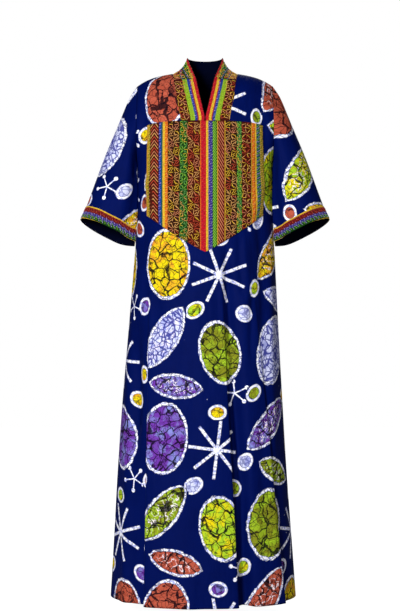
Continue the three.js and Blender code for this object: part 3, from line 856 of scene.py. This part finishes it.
def batik_material(name):
    """Deep blue cotton with motifs left in wax: fills, white outlines, veins, spokes, knobs and cracks."""
    material, tree, shader = new_material(name)
    place = cloth_place(tree)
    a, b, kind = parts(tree, attribute(tree, "motif"))
    length, width, seed = parts(tree, attribute(tree, "motif_size"))
    ink = attribute(tree, "ink", "Color")
    accent = attribute(tree, "accent", "Color")
    pale = Term(tree, attribute(tree, "ink", "Alpha"))
    leaf, disc, burst, bud, sprig = [kind.is_kind(n) for n in KINDS.values()]

    # How far outside each motif's fill a place is, in millimetres
    r = (a * a + b * b).op("SQRT")
    x, y = a * length, b * width
    past_end = (abs(a) - 1).op("MAXIMUM", 0) * length
    lens = abs(y) - (a * a * -1 + 1).op("MAXIMUM", 0).power(0.72) * width + past_end
    round_edge = (r - 1) * (length + width) * 0.5
    ragged = (noise_term(tree, place, 0.045, 3, 0.6) - 0.5) * 11
    ragged = ragged + (noise_term(tree, place, 0.3, 2) - 0.5) * 3.4
    edge = leaf * lens + (disc + bud) * round_edge
    edge = edge + ragged * (bud * -0.6 + 1) + (burst + sprig + kind.below(0.5, 0.1)) * 90
    inside = edge.below(0, 1.0)
    outline = edge.below(7.6, 1.6) * edge.op("MULTIPLY", -1).below(-0.9, 1.0)
    gaps = cell_edges(tree, place, 0.07).below(0.05, 0.05) * (bud * -0.8 + 1)
    outline = outline * (gaps * -0.8 + 1)

    # Fills: patches of two dyes, wax cracks, and what is drawn in each motif
    bent = wandering(tree, place, 0.035, 26)
    patch = tree.nodes.new("ShaderNodeTexVoronoi")
    patch.inputs["Scale"].default_value = 0.055
    tree.links.new(bent, patch.inputs["Vector"])
    patchy = parts(tree, patch.outputs["Color"])[0].op("MULTIPLY_ADD", 1.5, -0.75, clamp=True)
    patchy = (patchy + noise_term(tree, place, 0.03, 2).below(0.42, 0.1) * 0.6).op("MINIMUM", 1)
    fill = mix(tree, patchy, ink, accent)
    thick = noise_term(tree, place, 0.025, 2) * 0.11
    bold = cell_edges(tree, bent, 0.034).op("SUBTRACT", thick).below(-0.008, 0.03)
    hair = cell_edges(tree, bent, 0.075).below(0.035, 0.04) * 0.85
    fine = cell_edges(tree, bent, 0.075).below(0.1, 0.07)
    blotch = noise_term(tree, place, 0.05, 4, 0.75).below(0.39, 0.05)
    smudge = noise_term(tree, place, 0.09, 4, 0.7).below(0.4, 0.08) * 0.7
    dark_cracks = (bold + hair).op("MAXIMUM", blotch) * 0.92
    cracks = pale * fine.op("MAXIMUM", smudge) * 0.9 + (pale * -1 + 1) * dark_cracks
    crack_dye = mix(tree, pale, linear("#0d0914"), linear("#141c86"))
    scrawl = abs(noise_term(tree, place, 0.05, 2) - 0.5).below(0.022, 0.012) * r.below(0.75, 0.1)
    fill = mix(tree, scrawl * leaf, fill, linear("#f0e6ee"))
    veins = (x + abs(y) * 1.3).sine(24).op("MULTIPLY", -1).below(-0.62, 0.25)
    fill = mix(tree, veins * leaf * 0.5, fill, accent)
    fill = mix(tree, (cracks * (bud * -0.3 + 1)).op("MINIMUM", 1), fill, crack_dye)

    # White lines: the spokes of a burst with their wax broken in dashes, and a sprig's stalks and knobs
    angle = b.op("ARCTAN2", a)
    reach = r * length
    turns = (angle * (4 / math.pi) + seed * 0.13).op("FRACT") - 0.5
    spoke = abs(turns * (math.pi / 4)) * reach + ragged * 0.22
    spokes = spoke.below(4.0, 1.4) * r.below(1.0, 0.04)
    dashes = (reach + ragged * 2.5).sine(13).below(0.72, 0.3) * 0.5 + 0.5
    twig = (angle * (2.5 / math.pi) + seed * 0.37).op("FRACT") - 0.5
    stalk = abs(twig * (math.pi / 2.5)) * reach
    stalks = stalk.below(1.7, 0.9) * r.below(1.0, 0.03)
    knobs = (stalk * stalk + (reach - length * 0.9).op("POWER", 2)).below(30, 8)
    drawn = burst * (spokes * dashes).op("MAXIMUM", reach.below(8, 2)) + sprig * stalks.op("MAXIMUM", knobs)
    specks = tree.nodes.new("ShaderNodeTexVoronoi")
    specks.inputs["Scale"].default_value = 0.016
    specks.inputs["Randomness"].default_value = 1
    tree.links.new(place, specks.inputs["Vector"])
    drawn = drawn + Term(tree, specks.outputs["Distance"]).below(0.022, 0.012) * 0.8

    # Ground, from light to deep blue
    deep, royal, ink_blue = (linear(COLOURS[name]) for name in ("deep", "royal", "ink"))
    ground = mix(tree, noise_term(tree, place, 0.012, 4, 0.6), deep, royal)
    ground = mix(tree, noise_term(tree, place, 0.16, 3, 0.7).below(0.34, 0.06) * 0.3, ground, ink_blue)
    dull = noise_term(tree, place, 0.12, 3).below(0.45, 0.12)
    chalk = mix(tree, dull, linear("#f3f3fd"), linear("#a9b0e8"))
    colour = mix(tree, (outline + drawn).op("MINIMUM", 1), ground, chalk)
    colour = mix(tree, inside, colour, fill)
    tree.links.new(colour, shader.inputs["Base Color"])
    shader.inputs["Roughness"].default_value = 0.6
    shader.inputs["Specular IOR Level"].default_value = 0.02
    across, along, _ = parts(tree, place)
    weave = across.sine(0.55) * along.sine(0.55) + along.sine(0.9) * 0.3
    rumple = noise_term(tree, stretched(tree, place, 0.05, 0.014), 1.0, 3) * 9
    bump(tree, shader, weave * 0.12 + rumple, 0.001, 0.35)
    return material


# ---------------------------------------------------------------- the print

# A motif on the cloth: kind, place in millimetres, half length, half width, turn in degrees, two colours
Motif = namedtuple("Motif", "kind x z length width turn ink accent")
KINDS = {"leaf": 1, "disc": 2, "burst": 3, "bud": 4, "sprig": 5}
LINE_KINDS = ("burst", "sprig")
PALE = ("white", "violet")
DYES = {
    "yellow": "#e6cf12",
    "lime": "#a4c82a",
    "rust": "#ae4e3a",
    "orange": "#d98a2a",
    "coral": "#bf5c46",
    "purple": "#6a35a0",
    "violet": "#8288d0",
    "white": "#d4d8f6",
    "olive": "#80851f",
}
DYE_PAIRS = [
    ("rust", "coral"),
    ("lime", "yellow"),
    ("yellow", "orange"),
    ("white", "violet"),
    ("purple", "violet"),
    ("olive", "lime"),
]
# The print is one plain repeat of ordinary motifs: kind, place in the repeat, half length, half width, turn
# in degrees, and which pair of dyes it starts with
Spot = namedtuple("Spot", "kind x z length width turn dyes")
REPEAT = [
    Spot("disc", -70, -90, 88, 60, 84, 0),
    Spot("burst", 75, -120, 78, 78, 10, 3),
    Spot("leaf", -75, -290, 92, 34, 50, 1),
    Spot("disc", 85, -330, 80, 54, 100, 3),
    Spot("leaf", -40, -420, 70, 26, -15, 2),
    Spot("sprig", 140, -440, 36, 36, 24, 3),
    Spot("bud", 75, -20, 17, 14, 0, 4),
    Spot("bud", 10, -215, 20, 15, 30, 5),
    Spot("bud", -140, -205, 17, 13, 60, 2),
    Spot("bud", 150, -225, 18, 15, -40, 1),
    Spot("bud", -150, -390, 16, 12, 80, 0),
]
REPEAT_WIDTH, REPEAT_HEIGHT, TURN_STEP = 330, 470, 8
# Where the repeat starts on each piece's flat cloth
PRINT_STARTS = {"front": (-35, 30), "back": (60, 120), "left": (20, 150), "right": (-70, 260)}


def half_drop(start):
    """The repeat laid over flat cloth, every other column half a repeat lower, its dyes taking turns."""
    motifs = []
    for column in range(-2, 3):
        for row in range(-1, 5):
            across = start[0] + column * REPEAT_WIDTH
            down = start[1] - (row + column % 2 / 2) * REPEAT_HEIGHT
            shift = column + 2 * row
            for spot in REPEAT:
                ink, accent = DYE_PAIRS[(spot.dyes + shift) % len(DYE_PAIRS)]
                if spot.kind in LINE_KINDS:
                    ink, accent = PALE
                turn = spot.turn + TURN_STEP * (shift % 3 - 1)
                place = across + spot.x, down + spot.z
                motifs.append(Motif(spot.kind, *place, spot.length, spot.width, turn, ink, accent))
    return motifs


def print_onto(piece, motifs):
    """Gives each face the motif nearest to it, as its place in that motif's own frame, and its colours."""
    mesh = piece.data
    loops = len(mesh.loops)
    flat = np.empty(loops * 2)
    mesh.uv_layers["cloth"].data.foreach_get("uv", flat)
    flat = flat.reshape(-1, 2) * 1000
    face_of = np.repeat(np.arange(len(mesh.polygons)), 4)
    centres = flat.reshape(-1, 4, 2).mean(1)
    low, high = flat.min(0) - REPEAT_WIDTH / 2, flat.max(0) + REPEAT_WIDTH / 2
    motifs = [m for m in motifs if low[0] < m.x < high[0] and low[1] < m.z < high[1]]

    def local(points, motif):
        turn = math.radians(motif.turn)
        du, dv = points[:, 0] - motif.x, points[:, 1] - motif.z
        a = (du * math.cos(turn) + dv * math.sin(turn)) / motif.length
        b = (dv * math.cos(turn) - du * math.sin(turn)) / motif.width
        return np.stack([a, b], -1)

    reach = np.stack([np.linalg.norm(local(centres, m), axis=1) - 1 for m in motifs], 1)
    reach *= np.array([min(m.length, m.width) for m in motifs])
    # Motifs of lines alone give way to a filled motif that lies over them
    lines = np.array([m.kind in LINE_KINDS for m in motifs])
    reach = np.where(lines, np.where(reach < 0, reach * 0.1, reach) + 9, reach)
    chosen = reach.argmin(1)[face_of]
    where = np.zeros((loops, 3))
    sizes = np.zeros((loops, 3))
    inks = np.ones((loops, 4))
    accents = np.ones((loops, 4))
    for n, motif in enumerate(motifs):
        mine = chosen == n
        where[mine, :2] = local(flat[mine], motif)
        where[mine, 2] = KINDS[motif.kind]
        sizes[mine] = (motif.length, motif.width, n)
        inks[mine] = linear(DYES[motif.ink], float(motif.ink in PALE))
        accents[mine] = linear(DYES[motif.accent])
    for name, kind, key, values in (
        ("motif", "FLOAT_VECTOR", "vector", where),
        ("motif_size", "FLOAT_VECTOR", "vector", sizes),
        ("ink", "FLOAT_COLOR", "color", inks),
        ("accent", "FLOAT_COLOR", "color", accents),
    ):
        mesh.attributes.new(name, kind, "CORNER").data.foreach_set(key, values.ravel())


# ---------------------------------------------------------------- trim


def plastron_outline(x):
    reach = np.abs(x) / PLASTRON_HALF
    top = PLASTRON_TOP - PLASTRON_CORNER * reach**4
    return top, PLASTRON_POINT + (PLASTRON_SIDE - PLASTRON_POINT) * reach**1.15


def relief(place, stripes, start):
    """How far satin stitch pads each stripe out, rounded between its edges."""
    height = np.zeros_like(place)
    for stripe in stripes:
        width = stripe.end - start
        f = np.clip((place - start) / width, 0, 1)
        inside = (place >= start) & (place <= stripe.end)
        height = np.where(inside, min(1.0, 0.25 + width * 0.035) * (1 - (2 * f - 1) ** 4), height)
        start = stripe.end
    return height


def plastron_points(x, z, lift=1.3):
    """Points on the plastron, as seen from the front, and its outward direction."""
    turn = turn_at(x, z)
    out = form_out(FRONT, turn, z)
    point = body(FRONT, turn, z)
    height = lift + creases(FRONT, point[..., 0], z) + relief(x, PLASTRON_STRIPES, -PLASTRON_HALF)
    return point + out * height[..., None], out


def plastron_sheet(name):
    x = np.linspace(-PLASTRON_HALF, PLASTRON_HALF, 241)[None, :]
    top, bottom = plastron_outline(x)
    z = top + (bottom - top) * np.linspace(0, 1, 91)[:, None]
    x = np.broadcast_to(x, z.shape)
    points, _ = plastron_points(x, z)
    return sheet_mesh(name, points, np.stack([x, z], -1), TRIM_WALL)


class Grid:
    """A sheet's finished points, which stitches are laid on by their place across and along it."""

    def __init__(self, points, across, along):
        self.points = points
        self.across = across
        self.along = along
        down = np.gradient(points, axis=0)
        side = np.gradient(points, axis=1)
        self.out = unit(np.cross(down, side))

    def __call__(self, u, v):
        """Points and outward directions at places across (the rows) and along (the columns)."""
        r = np.interp(u, self.across, np.arange(len(self.across)))
        c = np.interp(v, self.along, np.arange(len(self.along)))
        i = np.minimum(r.astype(int), len(self.across) - 2)
        j = np.minimum(c.astype(int), len(self.along) - 2)
        fr, fc = (r - i)[..., None], (c - j)[..., None]

        def blend(g):
            near = g[i, j] * (1 - fc) + g[i, j + 1] * fc
            far = g[i + 1, j] * (1 - fc) + g[i + 1, j + 1] * fc
            return near * (1 - fr) + far * fr

        return blend(self.points), unit(blend(self.out))


STITCH = 2.0
Stitch = namedtuple("Stitch", "u0 v0 u1 v1 width colour")
# Threads of each starry stripe, in the order they are taken
THREADS = {
    "brown": ("tan", "straw", "tan", "brick", "straw", "tan", "rose"),
    "rust": ("tan", "brick", "straw", "tan", "rose", "straw", "brick"),
    "green": ("fern", "leaf", "fern", "tan", "fern", "straw", "leaf"),
}
FLECKS = {
    "flecks": ("straw", "tan"),
    "red flecks": ("crimson", "brick"),
    "pale flecks": ("iris", "lilac"),
    "green flecks": ("leaf", "lilac"),
}


def starry(stripe, start, low, high):
    """Stars down the middle of a stripe, with half stars between them along its edges."""
    width = stripe.end - start
    size = min(width / 2, 16)
    pitch = 2.1 * size
    rays = 8 if width > 28 else 6
    threads = THREADS[stripe.colour]
    n = 0
    for row in range(int((high - low) / pitch * 2) + 1):
        v = low + size * 0.5 + row * pitch / 2
        for side in (0,) if row % 2 else (-1, 1):
            u = (start + stripe.end) / 2 + side * width / 2
            lean = 0.35 * math.sin(row * 1.9 + side)
            for ray in range(rays):
                angle = lean + 2 * math.pi * (ray + 0.5 * side) / rays
                n += 1
                near = size * (0.2 + 0.07 * math.sin(n * 2.3))
                far = size * (0.96 + 0.12 * math.sin(n * 1.7))
                du, dv = math.cos(angle), math.sin(angle)
                if not start < u + far * du * 0.8 < stripe.end or not low < v + far * dv < high:
                    continue
                far = min(far, (stripe.end - u if du > 0 else u - start) / max(abs(du), 0.01) * 0.98)
                if far > near * 1.6:
                    colour = threads[(row + side + n // 4) % len(threads)]
                    ends = u + near * du, v + near * dv, u + far * du, v + far * dv
                    yield Stitch(*ends, STITCH * 0.8, colour)


def flecked(stripe, start, low, high):
    """Short slanted stitches down a stripe, uneven in place and length."""
    width = stripe.end - start
    rows = max(1, round(width / 6))
    n = 0
    for row in range(rows):
        v = low + 2 + 3 * row
        while v < high - 5:
            n += 1
            u = start + width * (row + 0.5 + 0.22 * math.sin(n * 2.1)) / rows
            half = width / rows * (0.3 + 0.12 * math.sin(n * 3.7))
            rise = 2.2 + math.sin(n * 1.3)
            yield Stitch(u - half, v, u + half, v + rise, STITCH * 0.9, FLECKS[stripe.stitch][n % 2])
            v += 6.2 + 1.6 * math.sin(n * 1.9)


def stitch_pattern(stripe, start, low, high):
    """The stitches laid on one stripe, between two places along it."""
    if stripe.stitch == "star":
        yield from starry(stripe, start, low, high)
        return
    if stripe.stitch in FLECKS:
        yield from flecked(stripe, start, low, high)
        return
    middle = (start + stripe.end) / 2
    slant = (stripe.end - start) * {"chevron": 0.62, "hatch": 1.4, "rose hatch": 1.6}[stripe.stitch]
    pitch = {"chevron": 10.0, "hatch": 8.0, "rose hatch": 11.5}[stripe.stitch]
    v = low - slant / 2
    n = 0
    while v < high + slant / 2:
        if stripe.stitch == "chevron":
            colour = ("brick", "tan", "rose")[n % 3]
            yield Stitch(start + 1.5, v - slant / 2, middle, v + slant / 2, STITCH * 1.1, colour)
            yield Stitch(stripe.end - 1.5, v - slant / 2, middle, v + slant / 2, STITCH * 1.1, colour)
        elif stripe.stitch == "hatch":
            yield Stitch(start + 1, v - slant / 2, stripe.end - 1, v + slant / 2, STITCH * 1.3, "leaf")
        else:
            yield Stitch(start + 1, v + slant / 2, stripe.end - 1, v - slant / 2, STITCH * 1.1, "rose")
        v += pitch
        n += 1


def cut_off(stitches, ends):
    """The stitches cut off where they pass an end of their stripe, given by its heights for places across."""
    share = np.linspace(0, 1, 13)
    for stitch in stitches:
        run, rise = stitch.u1 - stitch.u0, stitch.v1 - stitch.v0
        high, low = ends(stitch.u0 + run * share)
        v = stitch.v0 + rise * share
        kept = share[(v > low + 1.2) & (v < high - 1.2)]
        if len(kept) > 3:
            a, b = kept[0], kept[-1]
            u, v = stitch.u0, stitch.v0
            yield stitch._replace(u0=u + run * a, v0=v + rise * a, u1=u + run * b, v1=v + rise * b)


def stitched(name, surface, stitches):
    """One mesh of all a trim's stitches: each a low rounded bar laid on the cloth."""
    stitches = list(stitches)
    ends = np.array([(s.u0, s.v0, s.u1, s.v1) for s in stitches])
    first, _ = surface(ends[:, 0], ends[:, 1])
    last, _ = surface(ends[:, 2], ends[:, 3])
    _, out = surface((ends[:, 0] + ends[:, 2]) / 2, (ends[:, 1] + ends[:, 3]) / 2)
    colours = sorted({s.colour for s in stitches})
    bm = bmesh.new()
    for stitch, a, b, up in zip(stitches, first, last, out):
        run = b - a
        length = np.linalg.norm(run)
        if length < 1:
            continue
        run /= length
        side = unit(np.cross(up, run))
        up = np.cross(run, side)
        matrix = matrix_of(side * stitch.width * 0.5, up * stitch.width * 0.42, run, (a + b) / 2 + up * 0.12)
        made = bmesh.ops.create_cone(
            bm, cap_ends=True, segments=6, radius1=1, radius2=1, depth=length, matrix=matrix
        )
        index = colours.index(stitch.colour)
        for face in {face for vert in made["verts"] for face in vert.link_faces}:
            face.material_index = index
            face.smooth = True
    mesh = bpy.data.meshes.new(name)
    bm.to_mesh(mesh)
    bm.free()
    piece = bpy.data.objects.new(name, mesh)
    bpy.context.scene.collection.objects.link(piece)
    for colour in colours:
        mesh.materials.append(bpy.data.materials.get("thread_" + colour) or thread_material(colour))
    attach(piece, "root")
    return piece


def matrix_of(x, y, z, place):
    """The transform, in metres, with these three directions and this place in millimetres."""
    matrix = Matrix.Identity(4)
    for column, axis in enumerate((x, y, z, place)):
        for row in range(3):
            matrix[row][column] = axis[row] * MM
    return matrix


def neck_grid(way, first, last):
    """A strip of the neck between two stations: one side's, or both joined round the back."""
    points = half_neck()[:, first : last + 1]
    if way == 0:
        points = np.concatenate([points, (points * [-1, 1, 1])[:, ::-1][:, 1:]], 1)
    points = refine(points, 8, 3)
    if way < 0:
        points = points[:, ::-1] * [-1, 1, 1]
    return points


def strip_stitches(points, stripes, start=0.0):
    """A strip's surface and the stitches of its striped embroidery."""
    flat = flat_strip(points)
    across = flat[:, points.shape[1] // 2, 0]
    along = flat[0, :, 1]
    surface = Grid(points, across, along)
    stitches = []
    begin = start
    for stripe in stripes:
        if stripe.stitch and begin < across[-1]:
            end = stripe._replace(end=min(stripe.end, across[-1] - 1))
            laid = stitch_pattern(end, begin, along[0], along[-1])
            stitches += cut_off(laid, lambda u: (along[-1], along[0]))
        begin = stripe.end
    return surface, stitches


# ---------------------------------------------------------------- operators


def metres(name, description, default):
    """A property that is a length in metres."""
    return bpy.props.FloatProperty(
        name=name, description=description, default=default, subtype="DISTANCE", unit="LENGTH"
    )


class KaftanCloth(bpy.types.PropertyGroup):
    rows: bpy.props.IntProperty(name="Rows", description="Rows of points down a panel", default=230, min=60)
    columns: bpy.props.IntProperty(name="Columns", description="Points across", default=201, min=41)
    wall: metres("Cloth", "Thickness of the cotton", 0.0007)


class KaftanStudio(bpy.types.PropertyGroup):
    distance: metres("Distance", "Camera to the garment's middle plane", 4.0)
    height: metres("Height", "Camera below the neck base", -0.6426)
    aside: metres("Aside", "Camera to the garment's right", -0.014)
    frame_height: metres("Frame", "Height seen at the middle plane", 1.7108)
    floor: metres("Floor", "Height of the floor", -1.5)


# Each sheet as it is cut flat: width and length in metres, and its area in square metres
Cut = namedtuple("Cut", "width length area")
CUTS = {
    "front": Cut(0.82, 1.457, 0.855),
    "back": Cut(0.82, 1.457, 0.845),
    "sleeve": Cut(0.455, 0.435, 0.118),
    "cuff": Cut(0.454, 0.039, 0.0167),
    "plastron": Cut(0.335, 0.359, 0.107),
    "neck_band": Cut(0.069, 0.13, 0.0087),
    "collar": Cut(0.07, 0.355, 0.0228),
}


def declare(cut):
    """Looks up a sheet's flat cut in the table."""
    cut = CUTS[cut]


class KAFTAN_OT_panels(bpy.types.Operator):
    """Builds the printed front and back"""

    bl_idname = "kaftan.panels"
    bl_label = "Panels"

    def execute(self, context):
        cloth = context.scene.kaftan_cloth
        batik = batik_material("wax_print")
        for name, node, side in (("cloth_front", "front", FRONT), ("cloth_back", "back", BACK)):
            piece = cloth_panel(name, side, cloth.rows, cloth.columns, cloth.wall / MM)
            print_onto(piece, half_drop(PRINT_STARTS[node]))
            dress(piece, [node + "_chest", node + "_hip", node + "_hem"], "batik_cotton", batik)
            declare(node)
        return {"FINISHED"}


class KAFTAN_OT_sleeves(bpy.types.Operator):
    """Builds the printed sleeves and their embroidered cuffs"""

    bl_idname = "kaftan.sleeves"
    bl_label = "Sleeves"

    def execute(self, context):
        batik = bpy.data.materials["wax_print"]
        wall = context.scene.kaftan_cloth.wall / MM
        cuff = embroidery_material("cuff_embroidery", CUFF_STRIPES, 0, 40, "v")
        for way, hand in ((1, "left"), (-1, "right")):
            points, flat = sleeve_grid(way, 90, 121)
            piece = sheet_mesh("cloth_sleeve_" + hand, points, flat, wall, closed=True)
            print_onto(piece, half_drop(PRINT_STARTS[hand]))
            dress(piece, ["sleeve_" + hand], "batik_cotton", batik)
            declare("sleeve")
            points, flat = sleeve_grid(way, 21, 121, 1.0, CUFF_START)
            down = np.linalg.norm(np.diff(points, axis=0), axis=-1)
            run = np.concatenate([np.zeros((1, 121)), np.cumsum(down, 0)], 0)
            out = unit(np.cross(np.gradient(points, axis=0), np.gradient(points, axis=1)))
            out[:, 0] = out[:, -1] = unit(out[:, 0] + out[:, -1])
            pad = 1.0 + relief(run, CUFF_STRIPES, 0) * 0.6
            raised = points + out * pad[..., None]
            flat = np.stack([flat[..., 0], run], -1)
            band = sheet_mesh("trim_cuff_" + hand, raised, flat, 0.6, closed=True)
            dress(band, ["cuff_" + hand], "embroidery", cuff)
            around = np.linalg.norm(np.diff(points[10], axis=0), axis=-1)
            surface = Grid(raised, run[:, 60], np.concatenate([[0], np.cumsum(around)]))
            stitches = []
            begin = 0
            for stripe in CUFF_STRIPES:
                if stripe.stitch:
                    laid = stitch_pattern(stripe, begin, 1, surface.along[-1] - 1)
                    stitches += cut_off(laid, lambda u: (surface.along[-1], 0))
                begin = stripe.end
            threads = stitched("stitches_cuff_" + hand, surface, stitches)
            declare("cuff")
        return {"FINISHED"}


class KAFTAN_OT_plastron(bpy.types.Operator):
    """Builds the embroidered chest panel"""

    bl_idname = "kaftan.plastron"
    bl_label = "Plastron"

    def execute(self, context):
        striped = embroidery_material(
            "plastron_embroidery", PLASTRON_STRIPES, -PLASTRON_HALF, PLASTRON_HALF, "u"
        )
        piece = plastron_sheet("trim_plastron")
        dress(piece, ["plastron"], "embroidery", striped)
        stitches = []
        begin = -PLASTRON_HALF
        for stripe in PLASTRON_STRIPES:
            if stripe.stitch:
                top, bottom = plastron_outline(np.array([begin, stripe.end]))
                laid = stitch_pattern(stripe, begin, float(bottom.min()), float(top.max()))
                stitches += cut_off(laid, plastron_outline)
            begin = stripe.end
        threads = stitched("stitches_plastron", plastron_points, stitches)
        declare("plastron")
        return {"FINISHED"}


class KAFTAN_OT_neck(bpy.types.Operator):
    """Builds the striped neck bands and the standing collar"""

    bl_idname = "kaftan.neck"
    bl_label = "Neck"

    def execute(self, context):
        band = embroidery_material("neck_embroidery", NECK_STRIPES, 0, 90, "u")
        collar = embroidery_material("collar_embroidery", COLLAR_STRIPES, 0, 90, "u")
        last = len(V_EDGE) + BACK_STATIONS - 1
        for name, node, way, first, end, stripes, material, slot in (
            ("trim_neck_left", "neck_band_left", 1, 0, BAND_STATIONS - 1, NECK_STRIPES, band, "embroidery"),
            (
                "trim_neck_right", "neck_band_right", -1, 0, BAND_STATIONS - 1,
                NECK_STRIPES, band, "embroidery",
            ),
            (
                "trim_collar", "collar", 0, BAND_STATIONS - 1, last,
                COLLAR_STRIPES, collar, "collar_embroidery",
            ),
        ):
            points = neck_grid(way, first, end)
            piece = sheet_mesh(name, points, flat_strip(points), TRIM_WALL)
            dress(piece, [node], slot, material)
            threads = stitched(name.replace("trim", "stitches"), *strip_stitches(points, stripes))
            declare("collar" if way == 0 else "neck_band")
        return {"FINISHED"}


class KAFTAN_OT_stage(bpy.types.Operator):
    """Builds the pale floor and backdrop, the lights and the camera"""

    bl_idname = "kaftan.stage"
    bl_label = "Stage"

    def execute(self, context):
        studio = context.scene.kaftan_studio
        scene = context.scene
        bm = bmesh.new()
        bmesh.ops.create_grid(bm, x_segments=1, y_segments=1, size=6)
        for vert in bm.verts:
            vert.co.z = studio.floor
        mesh = bpy.data.meshes.new("floor")
        bm.to_mesh(mesh)
        bm.free()
        floor = bpy.data.objects.new("floor", mesh)
        scene.collection.objects.link(floor)
        material, tree, shader = new_material("pale_floor")
        shader.inputs["Base Color"].default_value = (0.3, 0.3, 0.3, 1)
        shader.inputs["Roughness"].default_value = 0.9
        shader.inputs["Specular IOR Level"].default_value = 0
        shader.inputs["Emission Color"].default_value = (1, 1, 1, 1)
        direct = tree.nodes.new("ShaderNodeLightPath")
        glow = tree.nodes.new("ShaderNodeMapRange")
        glow.inputs["To Min"].default_value = 0.1
        glow.inputs["To Max"].default_value = 0.96
        tree.links.new(direct.outputs["Is Camera Ray"], glow.inputs["Value"])
        tree.links.new(glow.outputs["Result"], shader.inputs["Emission Strength"])
        mesh.materials.append(material)
        world = bpy.data.worlds.new("studio")
        world.use_nodes = True
        sky = world.node_tree
        sky.nodes["Background"].inputs["Color"].default_value = (1, 1, 1, 1)
        seen = sky.nodes.new("ShaderNodeLightPath")
        strength = sky.nodes.new("ShaderNodeMapRange")
        strength.inputs["To Min"].default_value = 0.14
        strength.inputs["To Max"].default_value = 1.0
        sky.links.new(seen.outputs["Is Camera Ray"], strength.inputs["Value"])
        sky.links.new(strength.outputs["Result"], sky.nodes["Background"].inputs["Strength"])
        scene.world = world
        for name, place, size, power in (
            ("key", (-1.2, -3.8, 0.2), 0.8, 180),
            ("fill", (2.8, -2.6, 0.2), 1.6, 10),
            ("back", (0.6, 3.0, 1.4), 2.0, 60),
        ):
            light = bpy.data.lights.new(name, "AREA")
            light.size = size
            light.energy = power
            lamp = bpy.data.objects.new(name, light)
            lamp.location = place
            aim = Vector((0, 0, -0.6)) - lamp.location
            lamp.rotation_euler = aim.to_track_quat("-Z", "Y").to_euler()
            scene.collection.objects.link(lamp)
        lens = bpy.data.cameras.new("camera")
        lens.sensor_fit = "VERTICAL"
        lens.angle = 2 * math.atan(studio.frame_height / 2 / studio.distance)
        camera = bpy.data.objects.new("camera", lens)
        camera.location = (studio.aside, -studio.distance, studio.height)
        camera.rotation_euler = (math.pi / 2, 0, 0)
        scene.collection.objects.link(camera)
        scene.camera = camera
        scene.view_settings.view_transform = "Standard"
        return {"FINISHED"}


class KAFTAN_PT_sidebar(bpy.types.Panel):
    """Lists the kaftan's sizes and its pieces"""

    bl_idname = "KAFTAN_PT_sidebar"
    bl_label = "Kaftan"
    bl_space_type = "VIEW_3D"
    bl_region_type = "UI"
    bl_category = "Kaftan"

    def draw(self, context):
        for group in (context.scene.kaftan_cloth, context.scene.kaftan_studio):
            for name in group.__annotations__:
                self.layout.prop(group, name)
        for operator in PIECES:
            self.layout.operator(operator.bl_idname)


PIECES = (KAFTAN_OT_panels, KAFTAN_OT_sleeves, KAFTAN_OT_plastron, KAFTAN_OT_neck, KAFTAN_OT_stage)
CLASSES = (KaftanCloth, KaftanStudio, *PIECES, KAFTAN_PT_sidebar)


def register():
    for cls in CLASSES:
        bpy.utils.register_class(cls)
    bpy.types.Scene.kaftan_cloth = bpy.props.PointerProperty(type=KaftanCloth)
    bpy.types.Scene.kaftan_studio = bpy.props.PointerProperty(type=KaftanStudio)


def unregister():
    del bpy.types.Scene.kaftan_studio
    del bpy.types.Scene.kaftan_cloth
    for cls in reversed(CLASSES):
        bpy.utils.unregister_class(cls)


def main():
    register()
    bpy.ops.kaftan.panels()
    bpy.ops.kaftan.sleeves()
    bpy.ops.kaftan.plastron()
    bpy.ops.kaftan.neck()
    bpy.ops.kaftan.stage()


if __name__ == "__main__":
    main()
